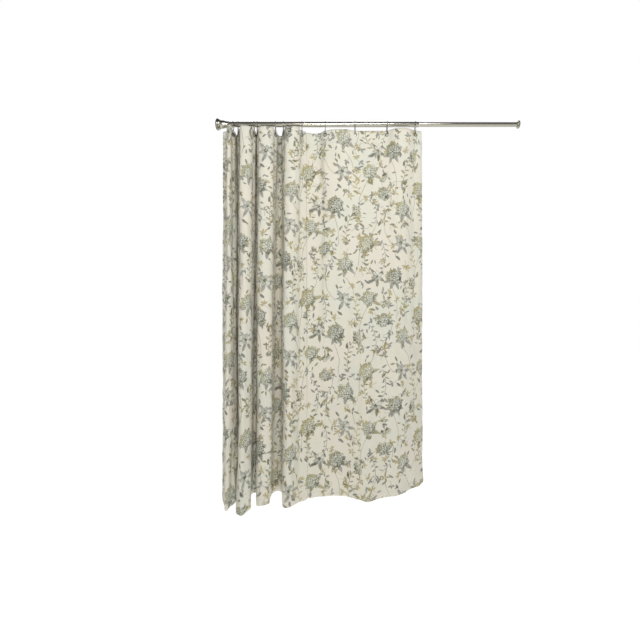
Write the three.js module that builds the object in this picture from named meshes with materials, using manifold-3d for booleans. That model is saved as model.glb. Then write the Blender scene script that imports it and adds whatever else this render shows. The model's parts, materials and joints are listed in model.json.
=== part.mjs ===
// A fabric shower curtain on twelve wire hooks, hung from a telescopic tension rod.
// Millimetres, +Z up. The origin is the centre of the left foot's wall face, the rod runs along +X,
// the curtain hangs down -Z and its front side looks along -Y.
import * as THREE from 'three';
import { mergeVertices } from 'three/addons/utils/BufferGeometryUtils.js';
import Module from 'manifold-3d';

const wasm = await Module();
wasm.setup();

// ---- driving dimensions ----------------------------------------------------------------------
const ROD_LENGTH = 1524; // wall face to wall face, as fitted
const OUTER_TUBE_OD = 25.4;
const OUTER_TUBE_WALL = 0.8;
const OUTER_TUBE_START = 24; // the tube's end inside the collar
const OUTER_TUBE_LENGTH = 996;
const TUBE_PLAY = 0.8; // radial room between the outer tube's bore and the inner tube
const INNER_TUBE_WALL = 0.8;
const INNER_TUBE_LENGTH = 874;
const GAP = 0.3; // between pieces that seat on each other
const SLIDE_GAP = 0.4; // between pieces that run on each other
const BUSH_GAP = 0.15; // between the guide bush and each tube

const PAD_THICKNESS = 6;
const LEFT_FLANGE_LENGTH = 15;
const LEFT_FLANGE_FLARE = 8; // from the flange's cavity out to its rim
const LEFT_FLANGE_LIP = 1.2; // radial thickness at the flange's mouth
const FLANGE_FLOOR = 3; // thickness of the flange's closed end
const COLLAR_WALL = 7; // from the collar's bore out to its widest part
const COLLAR_END = 59; // where the collar's cone meets the tube
const COLLAR_LIP = 1.6; // radial thickness at that end
const RIGHT_FLANGE_RADIUS = 19.5;
const RIGHT_FLANGE_LENGTH = 3;
const RIGHT_PAD_THICKNESS = 4;

const STEM_RADIUS = 6;
const STEM_TAIL = 8.1; // the stem's end past its retaining washer
const WASHER_THICKNESS = 2;
const PLUG_START = 92;
const PLUG_LENGTH = 18;
const SPRING_WIRE = 1.6;
const SPRING_TURNS = 9;
const FOOT_TRAVEL_IN = 7; // the foot's travel into the collar
const FOOT_TRAVEL_OUT = 3.5; // and out of it, up to the retaining washer

const HOOK_WIRE = 3.2;
const HOOK_TOP_CLEARANCE = 0.3; // between a hook and the top of the tube
const HOOK_SIDE_ROOM = 1.9; // between the wide arc and the tube, at the sides
const HOOK_BOTTOM_RADIUS = 7;
const HOOK_SAG = 0.5; // the wire's lowest line below the grommet's centre
const GROMMET_DROP = 51; // from the rod's axis to a grommet's centre
const GROMMET_HOOK_ROOM = 3.9; // from the hook's wire to the edge of the grommet's hole
const GROMMET_BARREL_WALL = 0.7;
const GROMMET_PLATE = 0.7; // thickness of its two plates
const GROMMET_PLATE_WIDTH = 3.8; // from the barrel out to the rim
const GROMMET_ROUNDING = 0.5;

const CLOTH_LENGTH = 1829; // 72 in from top edge to hem
const CLOTH_THICKNESS = 0.8;
const GROMMET_INSET = 21; // from the cloth's top edge down to a grommet's centre
const STRAIGHT_MARGIN = 0.8; // the cloth stays straight this far past a grommet's rim

// ---- how the cloth hangs ---------------------------------------------------------------------
// One entry for each hook, from left to right: where it stands on the rod (x), the way the cloth heads
// through it at the header (heading, degrees, positive to the back), and where that line of cloth is at
// the hem: [x, y, extra drop, heading]. The folds after it are cloth points between this hook and the
// next, each as [x at the header, y at the header, x at the hem, y at the hem, extra drop at the hem].
const HANG = [
  { x: 64, heading: -40, hem: [48, -68, 35, -60],
    folds: [[64, -38, 63, -100, 45], [67, -66, 76, -104, 44], [81, -70, 91, -98, 36], [87, -40, 103, -75, 25]] },
  { x: 85.5, heading: 48, hem: [113, -50, 15, 80],
    folds: [[91, 42, 116, -25, 5], [95, 66, 116.5, -6, 0], [102, 66, 120.5, -6, 0], [106, 42, 121, -30, 10]] },
  { x: 111, heading: -48, hem: [121.5, -60, 30, -88],
    folds: [[126, -34, 124, -92, 52], [131, -55, 136, -122, 55], [152, -60, 151, -135, 56],
      [178, -52, 170, -122, 46], [189, -30, 186, -105, 36]] },
  { x: 191, heading: 51, hem: [184, -55, 18, 98],
    folds: [[195, 40, 179, -12, 7], [196, 64, 184, 14, 2], [200, 70, 193, 18, 0],
      [204, 64, 201, 10, 0], [204, 40, 206, -15, 3]] },
  { x: 207, heading: -51, hem: [209, -45, 15, -86],
    folds: [[217, -30, 212, -72, 27], [224, -46, 226, -86, 26], [250, -54, 248, -90, 22],
      [280, -46, 272, -86, 18], [295, -26, 285, -76, 16]] },
  { x: 299, heading: 46, hem: [283, -32, 8, 94],
    folds: [[304, 36, 283, -4, 0], [309, 60, 294, 16, -6], [319, 68, 308, 20, -7],
      [329, 60, 322, 16, -6], [333, 34, 331, -6, 4]] },
  { x: 338, heading: -46, hem: [335, -45, 16, -86],
    folds: [[347, -30, 338, -76, 30], [354, -46, 347, -96, 32], [380, -54, 368, -106, 29],
      [410, -46, 390, -88, 22], [424, -28, 407, -66, 22]] },
  { x: 432, heading: 40, hem: [424, -52, 22, 20], folds: [] },
  { x: 549, heading: -22, hem: [556, -30, 6, 0],
    folds: [[590, -14, 590, -28, 5], [625, -18, 637, -30, 5], [660, -13, 671, -42, 7]] },
  { x: 699, heading: 6, hem: [705, -62, 10, -20],
    folds: [[740, 4, 728, -78, 12], [780, 4, 751, -85, 13], [820, 3, 800, -64, 9]] },
  { x: 860, heading: -18, hem: [862, -42, 5, 10],
    folds: [[890, -22, 905, -32, 3], [930, -32, 940, -12, -2], [970, -22, 968, 12, -7]] },
  { x: 1002, heading: 16, hem: [1015, 45, -10, 40], folds: [] },
];
const LEFT_EDGE = [31, 14, 38, -40, 20];
const RIGHT_EDGE = [1036, 8, 1060, 82, -22];
// The pleated left part of the cloth ends, and the plain right part starts, at this upright line.
const SEAM = [455, 20, 455, -37, 14];
const PANEL_FOLDS = [[478, 34, 480, -34, 11], [505, 37, 508, -32, 9], [530, 24, 535, -31, 7]];
const SEAM_HOOK = 7; // index of the last hook on the pleated part
const SEAM_GAP = 0.4;

// ---- helpers ---------------------------------------------------------------------------------
const group = new THREE.Group();

function finish(color, roughness, metalness) {
  return { color, roughness, metalness };
}
const NICKEL = finish(0xb9b6aa, 0.28, 1);
const STEEL = finish(0xc4c4c2, 0.22, 1);
const RUBBER = finish(0x3a3a38, 0.8, 0);
const PLASTIC = finish(0xe6e4de, 0.45, 0);
const SPRING_STEEL = finish(0x8c8c88, 0.35, 1);
const CLOTH = finish(0xdedacb, 0.9, 0);

function add(name, geometry, look) {
  const mesh = new THREE.Mesh(geometry, new THREE.MeshStandardMaterial(look));
  mesh.name = name;
  group.add(mesh);
  return mesh;
}

// A turned piece: the profile is a closed loop of [x along the rod, radius], spun about the rod's axis.
function turned(profile, segments = 28) {
  const points = profile.map(([x, radius]) => new THREE.Vector2(radius, x));
  const onAxis = profile[0][1] === 0;
  if (!onAxis) points.push(points[0].clone());
  const geometry = new THREE.LatheGeometry(points, segments);
  geometry.rotateZ(-Math.PI / 2);
  return geometry;
}

function ring(start, end, inner, outer, segments = 28) {
  return turned([[start, inner], [start, outer], [end, outer], [end, inner]], segments);
}

// A round wire along a curve, with a cut end at each end of the curve.
function wire(curve, diameter, steps, sides) {
  const section = new THREE.Shape();
  for (let i = 0; i < sides; i += 1) {
    const angle = (2 * Math.PI * i) / sides;
    const x = (diameter / 2) * Math.cos(angle);
    const y = (diameter / 2) * Math.sin(angle);
    if (i === 0) section.moveTo(x, y);
    else section.lineTo(x, y);
  }
  return new THREE.ExtrudeGeometry(section, { steps, bevelEnabled: false, extrudePath: curve });
}

function toManifold(geometry) {
  const bare = geometry.clone();
  bare.deleteAttribute('normal');
  bare.deleteAttribute('uv');
  const merged = mergeVertices(bare, 1e-4);
  return new wasm.Manifold(new wasm.Mesh({
    numProp: 3,
    vertProperties: new Float32Array(merged.attributes.position.array),
    triVerts: new Uint32Array(merged.index.array),
  }));
}

function toGeometry(manifold) {
  const mesh = manifold.getMesh();
  const geometry = new THREE.BufferGeometry();
  geometry.setAttribute('position', new THREE.BufferAttribute(mesh.vertProperties, 3));
  geometry.setIndex(new THREE.BufferAttribute(mesh.triVerts, 1));
  geometry.computeVertexNormals();
  return geometry;
}

// ---- the left foot: rubber pad, flange and the spring-loaded stem ----------------------------
const flangeStart = PAD_THICKNESS + GAP;
const flangeEnd = flangeStart + LEFT_FLANGE_LENGTH;
const cavityStart = flangeStart + FLANGE_FLOOR;
const outerTubeRadius = OUTER_TUBE_OD / 2;
const outerTubeBore = outerTubeRadius - OUTER_TUBE_WALL;
const collarBore = outerTubeRadius + GAP;
const collarRadius = collarBore + COLLAR_WALL;
const COLLAR_ROOM = 1; // between the collar and the flange that it slides in
const cavityRadius = collarRadius + COLLAR_ROOM;
const leftFlangeRadius = cavityRadius + LEFT_FLANGE_FLARE;

// The pad swells from the wall face to the flange: shares of its thickness and of the flange's radius.
const PAD_SWELL = [[0, 0.72], [0.3, 0.84], [0.65, 0.93], [1, 0.98]];
add('left_wall_pad', turned([
  [0, 0],
  ...PAD_SWELL.map(([deep, wide]) => [PAD_THICKNESS * deep, leftFlangeRadius * wide]),
  [PAD_THICKNESS, 0],
]), RUBBER);

// The flange's outside falls from its rim to its lip: shares of its length and of the fall.
const FLANGE_FALL = [[0, 1], [0.27, 1], [0.53, 0.7], [0.87, 0.2], [1, 0]];
const flangeLip = cavityRadius + LEFT_FLANGE_LIP;
add('left_end_flange', turned([
  [flangeStart, 0],
  ...FLANGE_FALL.map(([along, rise]) => [
    flangeStart + LEFT_FLANGE_LENGTH * along, flangeLip + (leftFlangeRadius - flangeLip) * rise,
  ]),
  [flangeEnd, cavityRadius],
  [cavityStart, cavityRadius],
  [cavityStart, 0],
]), NICKEL);

const stemStart = cavityStart + GAP;
const washerStart = PLUG_START + PLUG_LENGTH + FOOT_TRAVEL_OUT + SLIDE_GAP;
const washerEnd = washerStart + WASHER_THICKNESS;
const stemEnd = washerEnd + STEM_TAIL;
const STEM_WASHER_WIDTH = 3.3;
add('foot_stem', turned([
  [stemStart, 0],
  [stemStart, STEM_RADIUS],
  [stemEnd, STEM_RADIUS],
  [stemEnd, 0],
], 24), STEEL);
const washerBore = STEM_RADIUS + GAP;
add('stem_washer', ring(washerStart, washerEnd, washerBore, washerBore + STEM_WASHER_WIDTH, 24), STEEL);

// The compression spring sits round the stem, between the flange and the plug in the tube.
const SPRING_ROOM = 1; // between the stem and the spring
const SPRING_STEPS = 10; // straight bits of wire in each turn
const springRadius = STEM_RADIUS + SPRING_ROOM + SPRING_WIRE / 2;
const springStart = stemStart + SPRING_WIRE / 2 + GAP;
const springEnd = PLUG_START - SPRING_WIRE / 2 - GAP;
class Helix extends THREE.Curve {
  getPoint(t, target = new THREE.Vector3()) {
    const angle = 2 * Math.PI * SPRING_TURNS * t;
    const x = springStart + (springEnd - springStart) * t;
    return target.set(x, springRadius * Math.cos(angle), springRadius * Math.sin(angle));
  }
}
add('tension_spring', wire(new Helix(), SPRING_WIRE, SPRING_TURNS * SPRING_STEPS, 4), SPRING_STEEL);

// ---- the collar that hides the spring --------------------------------------------------------
const collarStart = cavityStart + FOOT_TRAVEL_IN + SLIDE_GAP;
const collarLip = collarBore + COLLAR_LIP;
// The collar's outside: shares of its length, and of the fall from its widest part to its lip.
const COLLAR_FALL = [[0, 0.82], [0.03, 1], [0.52, 0.82], [0.76, 0.34], [0.9, 0.15], [1, 0]];
add('left_collar', turned([
  [collarStart, collarBore],
  ...COLLAR_FALL.map(([along, rise]) => [
    collarStart + (COLLAR_END - collarStart) * along, collarLip + (collarRadius - collarLip) * rise,
  ]),
  [COLLAR_END, collarBore],
]), NICKEL);

// ---- the outer tube --------------------------------------------------------------------------
const outerTubeEnd = OUTER_TUBE_START + OUTER_TUBE_LENGTH;
const innerTubeRadius = outerTubeBore - TUBE_PLAY;
const BUSH_LENGTH = 26; // the bush's part inside the tube
const BUSH_LIP = 2; // its rim past the tube's end
const BUSH_RIM_INSET = 0.1;
const bushBore = innerTubeRadius + BUSH_GAP;
const bushRadius = outerTubeBore - BUSH_GAP;
add('outer_tube', ring(OUTER_TUBE_START, outerTubeEnd, outerTubeBore, outerTubeRadius), NICKEL);
add('tube_plug', ring(PLUG_START, PLUG_START + PLUG_LENGTH, STEM_RADIUS + SLIDE_GAP,
  outerTubeBore - GAP), PLASTIC);
add('guide_bush', turned([
  [outerTubeEnd - BUSH_LENGTH, bushBore],
  [outerTubeEnd - BUSH_LENGTH, bushRadius],
  [outerTubeEnd + GAP, bushRadius],
  [outerTubeEnd + GAP, outerTubeRadius - BUSH_RIM_INSET],
  [outerTubeEnd + BUSH_LIP, outerTubeRadius - BUSH_RIM_INSET],
  [outerTubeEnd + BUSH_LIP, bushBore],
], 36), PLASTIC);

// ---- the inner tube, its twist lock and the right foot ---------------------------------------
const rightFaceX = ROD_LENGTH;
const rightFlangeStart = rightFaceX - RIGHT_PAD_THICKNESS - GAP - RIGHT_FLANGE_LENGTH;
const innerTubeEnd = rightFlangeStart - GAP;
const innerTubeStart = innerTubeEnd - INNER_TUBE_LENGTH;
const innerTubeBore = innerTubeRadius - INNER_TUBE_WALL;
add('inner_tube', ring(innerTubeStart, innerTubeEnd, innerTubeBore, innerTubeRadius), NICKEL);

const LOCK_STUB = 20; // the off-centre stub that the cam rides on
const LOCK_HEAD = 4; // the core's head, against the tube's end
const LOCK_PLUG = 26; // the core's part inside the tube
const LOCK_RIM_INSET = 0.2; // the head is this much smaller than the tube
const CAM_OFFSET = 1.1;
const CAM_SLOT = 2;
const CAM_END_ROOM = 2; // from the stub's end to the cam
const CAM_HEAD_ROOM = 1; // from the cam to the core's head
const CAM_WASHER_RIM = 2; // past the stub
const CAM_WASHER_THICKNESS = 1.5;
const stubRadius = innerTubeRadius / 2;
function offCentre(geometry) {
  geometry.translate(0, 0, CAM_OFFSET);
  return geometry;
}
function rod(start, end, radius, segments) {
  return turned([[start, 0], [start, radius], [end, radius], [end, 0]], segments);
}

const headStart = innerTubeStart - LOCK_HEAD;
const stubStart = headStart - LOCK_STUB;
const headRadius = innerTubeRadius - LOCK_RIM_INSET;
const lockPlugRadius = innerTubeBore - GAP;
const lockCore = toManifold(turned([
  [headStart, 0],
  [headStart, headRadius],
  [innerTubeStart - GAP, headRadius],
  [innerTubeStart - GAP, lockPlugRadius],
  [innerTubeStart + LOCK_PLUG, lockPlugRadius],
  [innerTubeStart + LOCK_PLUG, 0],
])).add(toManifold(offCentre(rod(stubStart, headStart + LOCK_HEAD / 2, stubRadius, 24))));
add('lock_core', toGeometry(lockCore), PLASTIC);

const camStart = stubStart + CAM_END_ROOM;
const camEnd = headStart - CAM_HEAD_ROOM;
const camBlank = toManifold(rod(camStart, camEnd, outerTubeBore - GAP, 36));
const camBore = toManifold(offCentre(rod(stubStart, headStart, stubRadius + GAP, 24)));
const camSlot = new THREE.BoxGeometry(LOCK_STUB * 2, CAM_SLOT, outerTubeBore);
camSlot.translate((camStart + camEnd) / 2, 0, -outerTubeBore / 2);
add('lock_cam', toGeometry(camBlank.subtract(camBore).subtract(toManifold(camSlot))), PLASTIC);

const camWasherEnd = stubStart - GAP;
const camWasher = rod(camWasherEnd - CAM_WASHER_THICKNESS, camWasherEnd, stubRadius + CAM_WASHER_RIM, 24);
add('cam_washer', offCentre(camWasher), STEEL);

const RIGHT_PLUG_LENGTH = 22;
add('right_tube_plug', rod(innerTubeEnd - RIGHT_PLUG_LENGTH, innerTubeEnd, innerTubeBore - GAP, 28), PLASTIC);
// The foot's face is domed: shares of its length and of its radius. The pad behind it is too.
const RIGHT_DOME = [[0, 0.85], [0.4, 0.97], [1, 1]];
const RIGHT_PAD_DOME = [[0, 0.98], [0.75, 0.96], [1, 0.92]];
add('right_end_flange', turned([
  [rightFlangeStart, 0],
  ...RIGHT_DOME.map(([along, wide]) => [
    rightFlangeStart + RIGHT_FLANGE_LENGTH * along, RIGHT_FLANGE_RADIUS * wide,
  ]),
  [rightFlangeStart + RIGHT_FLANGE_LENGTH, 0],
]), NICKEL);
const rightPadStart = rightFaceX - RIGHT_PAD_THICKNESS;
add('right_wall_pad', turned([
  [rightPadStart, 0],
  ...RIGHT_PAD_DOME.map(([along, wide]) => [
    rightPadStart + RIGHT_PAD_THICKNESS * along, RIGHT_FLANGE_RADIUS * wide,
  ]),
  [rightFaceX, 0],
]), RUBBER);

// ---- hooks and grommets ----------------------------------------------------------------------
const hookTopRadius = outerTubeRadius + HOOK_WIRE / 2 + HOOK_SIDE_ROOM;
const hookTopZ = outerTubeRadius + HOOK_TOP_CLEARANCE + HOOK_WIRE / 2;
const hookTopCentre = hookTopZ - hookTopRadius;
const hookLowZ = -GROMMET_DROP - HOOK_SAG;
const hookLowCentre = hookLowZ + HOOK_BOTTOM_RADIUS;
const HOOK_TOP_STEPS = 12;
const HOOK_LOW_STEPS = 7;
const HOOK_BENDS = 26;
const HOOK_CLOSURE = 0.4; // share of the back side's straight run where the wire's ends meet
const HOOK_END_GAP = 0.05; // between the two ends, as a share of that run

// A pear-shaped wire in the plane across the rod: a wide arc over the tube, two straight sides and a
// narrow arc through the grommet. The two wire ends meet on the back side.
function pearOutline() {
  const rise = hookTopCentre - hookLowCentre;
  const lean = Math.asin((hookTopRadius - HOOK_BOTTOM_RADIUS) / rise);
  const onArc = (radius, centre, angle) => new THREE.Vector3(
    0, radius * Math.cos(angle), centre + radius * Math.sin(angle));
  const top = (angle) => onArc(hookTopRadius, hookTopCentre, angle);
  const low = (angle) => onArc(HOOK_BOTTOM_RADIUS, hookLowCentre, angle);
  const backSide = (share) => top(-lean).lerp(low(-lean), share);
  const outline = [backSide(HOOK_CLOSURE)];
  for (let i = 0; i <= HOOK_TOP_STEPS; i += 1) {
    outline.push(top(-lean + ((Math.PI + 2 * lean) * i) / HOOK_TOP_STEPS));
  }
  for (let i = 0; i <= HOOK_LOW_STEPS; i += 1) {
    outline.push(low(Math.PI + lean + ((Math.PI - 2 * lean) * i) / HOOK_LOW_STEPS));
  }
  outline.push(backSide(HOOK_CLOSURE + HOOK_END_GAP));
  return outline;
}

function hookGeometry() {
  const curve = new THREE.CatmullRomCurve3(pearOutline(), false, 'centripetal');
  return wire(curve, HOOK_WIRE, HOOK_BENDS, 6);
}

const plateGap = CLOTH_THICKNESS / 2 + GAP;
const holeRadius = HOOK_WIRE / 2 + GROMMET_HOOK_ROOM;
const barrelRadius = holeRadius + GROMMET_BARREL_WALL;
const grommetRadius = barrelRadius + GROMMET_PLATE_WIDTH;
function upright(geometry) {
  geometry.rotateZ(Math.PI / 2); // the turned axis was X and becomes Y
  return geometry;
}
function eyeletGeometry() {
  return upright(turned([
    [-plateGap - GROMMET_PLATE, holeRadius + GROMMET_ROUNDING],
    [-plateGap - GROMMET_PLATE, grommetRadius - GROMMET_ROUNDING],
    [-plateGap, grommetRadius],
    [-plateGap, barrelRadius],
    [plateGap + GROMMET_PLATE, barrelRadius],
    [plateGap + GROMMET_PLATE, holeRadius],
    [-plateGap, holeRadius],
  ], 12));
}
function washerGeometry() {
  return upright(turned([
    [plateGap, barrelRadius + GAP],
    [plateGap, grommetRadius],
    [plateGap + GROMMET_PLATE, grommetRadius - GROMMET_ROUNDING],
    [plateGap + GROMMET_PLATE, barrelRadius + GAP],
  ], 12));
}

HANG.forEach((hook, index) => {
  const number = String(index + 1).padStart(2, '0');
  add(`curtain_hook_${number}`, hookGeometry(), STEEL).position.set(hook.x, 0, 0);
  const turn = THREE.MathUtils.degToRad(hook.heading);
  [['grommet_eyelet', eyeletGeometry()], ['grommet_washer', washerGeometry()]].forEach(([name, geometry]) => {
    const mesh = add(`${name}_${number}`, geometry, NICKEL);
    mesh.position.set(hook.x, 0, -GROMMET_DROP);
    mesh.rotation.z = turn;
  });
});

// ---- the cloth -------------------------------------------------------------------------------
const clothTop = GROMMET_DROP - GROMMET_INSET; // below the rod's axis
const headerDepth = 2 * GROMMET_INSET; // the stiff band that holds the grommets
const armLength = grommetRadius + STRAIGHT_MARGIN;
const SAMPLES = 2; // cloth points made between two neighbouring fold points

function clothPoint([topX, topY, hemX, hemY, drop]) {
  return { top: new THREE.Vector3(topX, topY, 0), hem: new THREE.Vector3(hemX, hemY, drop) };
}

// The cloth's point a signed length away from a hook's grommet.
function armPoint(hook, length) {
  const [hemX, hemY, drop, hemHeading] = hook.hem;
  const turn = THREE.MathUtils.degToRad(hook.heading);
  const hemTurn = THREE.MathUtils.degToRad(hemHeading);
  return clothPoint([
    hook.x + length * Math.cos(turn), length * Math.sin(turn),
    hemX + length * Math.cos(hemTurn), hemY + length * Math.sin(hemTurn), drop,
  ]);
}

function smoothRun(points) {
  const count = (points.length - 1) * SAMPLES;
  const along = (key) => {
    const curve = new THREE.CatmullRomCurve3(points.map((p) => p[key]), false, 'centripetal');
    return curve.getPoints(count);
  };
  const top = along('top');
  const hem = along('hem');
  return top.map((point, i) => ({ top: point, hem: hem[i] }));
}

// The line of cloth from one hook's grommet to the next, through its fold points.
function between(left, right, folds) {
  return smoothRun([armPoint(left, armLength), ...folds.map(clothPoint), armPoint(right, -armLength)]);
}

function pleatedLine() {
  const first = HANG[0];
  const last = HANG[SEAM_HOOK];
  const line = smoothRun([clothPoint(LEFT_EDGE), armPoint(first, -armLength)]);
  for (let i = 0; i < SEAM_HOOK; i += 1) line.push(...between(HANG[i], HANG[i + 1], HANG[i].folds));
  line.push(...smoothRun([armPoint(last, armLength), clothPoint(SEAM)]));
  return line;
}

function panelLine() {
  const start = [SEAM[0] + SEAM_GAP, ...SEAM.slice(1)];
  start[2] += SEAM_GAP;
  const first = HANG[SEAM_HOOK + 1];
  const line = smoothRun([clothPoint(start), ...PANEL_FOLDS.map(clothPoint), armPoint(first, -armLength)]);
  for (let i = SEAM_HOOK + 1; i < HANG.length - 1; i += 1) {
    line.push(...between(HANG[i], HANG[i + 1], HANG[i].folds));
  }
  line.push(...smoothRun([armPoint(HANG[HANG.length - 1], armLength), clothPoint(RIGHT_EDGE)]));
  return line;
}

// The share of the way from the header's folds to the hem's folds at a depth below the top edge.
const FOLD_EASE = 0.8; // below 1, the folds open mostly in the upper part
function foldShare(depth) {
  return Math.max(0, (depth - headerDepth) / (CLOTH_LENGTH - headerDepth)) ** FOLD_EASE;
}

// Rows of the cloth: its top edge, the header's lower edge, then shares of its length.
const ROWS = [0.1, 0.24, 0.44, 0.7, 1];
const DEPTHS = [0, headerDepth, ...ROWS.map((share) => share * CLOTH_LENGTH)];

// The box's front and back walls are split along opposite diagonals. This gives the back wall the
// front wall's, so that the walls stay parallel where the cloth twists.
function withParallelWalls(geometry) {
  const { index, groups } = geometry;
  const { start, count } = groups[3];
  for (let i = start; i < start + count; i += 6) {
    const [a, b, d, c] = [index.getX(i), index.getX(i + 1), index.getX(i + 2), index.getX(i + 4)];
    [a, b, c, a, c, d].forEach((vertex, k) => index.setX(i + k, vertex));
  }
  return geometry;
}

function clothGeometry(line) {
  const last = line.length - 1;
  const rows = DEPTHS.length - 1;
  const geometry = withParallelWalls(new THREE.BoxGeometry(last, CLOTH_THICKNESS, rows, last, 1, rows));
  const position = geometry.attributes.position;
  const at = (i, share) => line[i].top.clone().lerp(line[i].hem, share);
  const place = new THREE.Vector3();
  for (let v = 0; v < position.count; v += 1) {
    const i = Math.round(position.getX(v) + last / 2);
    const depth = DEPTHS[Math.round(rows / 2 - position.getZ(v))];
    const share = foldShare(depth);
    const point = at(i, share);
    place.subVectors(at(Math.min(i + 1, last), share), at(Math.max(i - 1, 0), share));
    const run = Math.hypot(place.x, place.y);
    const side = position.getY(v);
    const drop = point.z * (depth / CLOTH_LENGTH);
    position.setXYZ(v, point.x - (side * place.y) / run, point.y + (side * place.x) / run,
      -clothTop - depth - (share > 0 ? drop : 0));
  }
  return geometry;
}

const holeLength = CLOTH_THICKNESS * 4;
function withGrommetHoles(geometry, hooks) {
  const pieces = hooks.map((hook) => {
    const hole = new THREE.CylinderGeometry(barrelRadius + GAP, barrelRadius + GAP, holeLength, 16);
    hole.rotateZ(THREE.MathUtils.degToRad(hook.heading));
    hole.translate(hook.x, 0, -GROMMET_DROP);
    return toManifold(hole);
  });
  return toGeometry(pieces.reduce((solid, hole) => solid.subtract(hole), toManifold(geometry)));
}

add('curtain_pleats', withGrommetHoles(clothGeometry(pleatedLine()), HANG.slice(0, SEAM_HOOK + 1)), CLOTH);
add('curtain_panel', withGrommetHoles(clothGeometry(panelLine()), HANG.slice(SEAM_HOOK + 1)), CLOTH);

export default group;
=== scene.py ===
"""A fabric shower curtain with a botanical print, on twelve wire hooks and a telescopic tension rod."""

import json
import math

import bmesh
import bpy
from mathutils import Matrix, Vector, noise


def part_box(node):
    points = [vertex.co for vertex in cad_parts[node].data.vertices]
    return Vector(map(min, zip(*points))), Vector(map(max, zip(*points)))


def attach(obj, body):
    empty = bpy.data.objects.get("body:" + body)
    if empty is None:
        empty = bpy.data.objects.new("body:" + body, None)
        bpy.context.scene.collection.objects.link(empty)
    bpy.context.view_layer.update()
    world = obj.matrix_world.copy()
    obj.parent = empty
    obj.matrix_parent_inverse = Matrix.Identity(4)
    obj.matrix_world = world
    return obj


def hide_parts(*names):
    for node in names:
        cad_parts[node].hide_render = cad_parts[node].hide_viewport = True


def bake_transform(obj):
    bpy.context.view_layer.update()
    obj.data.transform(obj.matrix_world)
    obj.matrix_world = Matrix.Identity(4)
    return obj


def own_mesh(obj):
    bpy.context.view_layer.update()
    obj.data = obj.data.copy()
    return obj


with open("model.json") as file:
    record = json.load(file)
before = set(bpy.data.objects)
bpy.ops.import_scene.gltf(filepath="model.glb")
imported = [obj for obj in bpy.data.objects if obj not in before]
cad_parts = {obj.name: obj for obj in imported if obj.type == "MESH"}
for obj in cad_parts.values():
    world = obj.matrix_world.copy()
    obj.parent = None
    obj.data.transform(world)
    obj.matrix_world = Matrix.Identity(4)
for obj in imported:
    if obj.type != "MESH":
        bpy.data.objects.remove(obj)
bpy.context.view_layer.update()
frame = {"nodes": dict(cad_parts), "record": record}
record = frame["record"]
body_of_node = {node: body for body, nodes in record["behaviour"]["bodies"].items() for node in nodes}
MM = 0.001


# ---- sizes of the rod, hooks and grommets, in millimetres -------------------------------------
OUTER_TUBE_RADIUS = 12.7
INNER_TUBE_RADIUS = 11.1
TUBE_WALL = 0.8
SPRING_WIRE = 1.6
SPRING_TURNS = 9
SPRING_STEPS = 24  # straight bits of wire in each turn

HOOK_WIRE = 3.2
HOOK_TOP = 14.6  # the wire's middle line at its highest and lowest, from the rod's axis
HOOK_FOOT = -51.5
HOOK_TOP_RADIUS = 16.2
HOOK_FOOT_RADIUS = 7.0
SLEEVE_RADIUS = 1.95
SLEEVE_LENGTH = 7.5

GROMMET_DROP = 51  # a grommet's middle below the rod's axis
# half sections of a grommet's two rings: (along its axis, radius)
EYELET = [
    (-1.35, 6.0), (-1.35, 9.0), (-1.1, 9.7), (-0.72, 10.0), (-0.70, 6.2),
    (1.3, 6.2), (1.4, 5.9), (1.3, 5.5), (-0.7, 5.5), (-1.15, 5.65),
]
WASHER = [(0.72, 6.5), (0.70, 10.0), (1.1, 9.7), (1.35, 9.0), (1.4, 7.8), (1.35, 6.5)]


# ---- the cloth's sizes and the way it hangs, in millimetres -----------------------------------
CLOTH = 1829  # width and length of the cut and hemmed cloth
CLOTH_TOP = 30  # top edge below the rod's axis
CLOTH_THICKNESS = 0.9  # in the hems; a single layer has half of it
HEADER = 42  # no fold changes its place above this depth
HEADER_HEM = 63
SIDE_HEM = 13
FOOT_HEM = 27
COLUMN = 10  # spacing of the mesh across the cloth, before it is made finer
ROW = 20
BENDS = 14  # steps between two neighbouring points of the cloth's line
ARM = 10.8  # cloth stays straight this far each side of a grommet
PINNED = 67  # the sheet is held still this far down
HOLD_BELOW = 0.04  # how firmly a fold below that is held near its place
MOST_SHIFT = 30  # furthest that settling may move a point
SETTLE_FRAMES = 24

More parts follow.
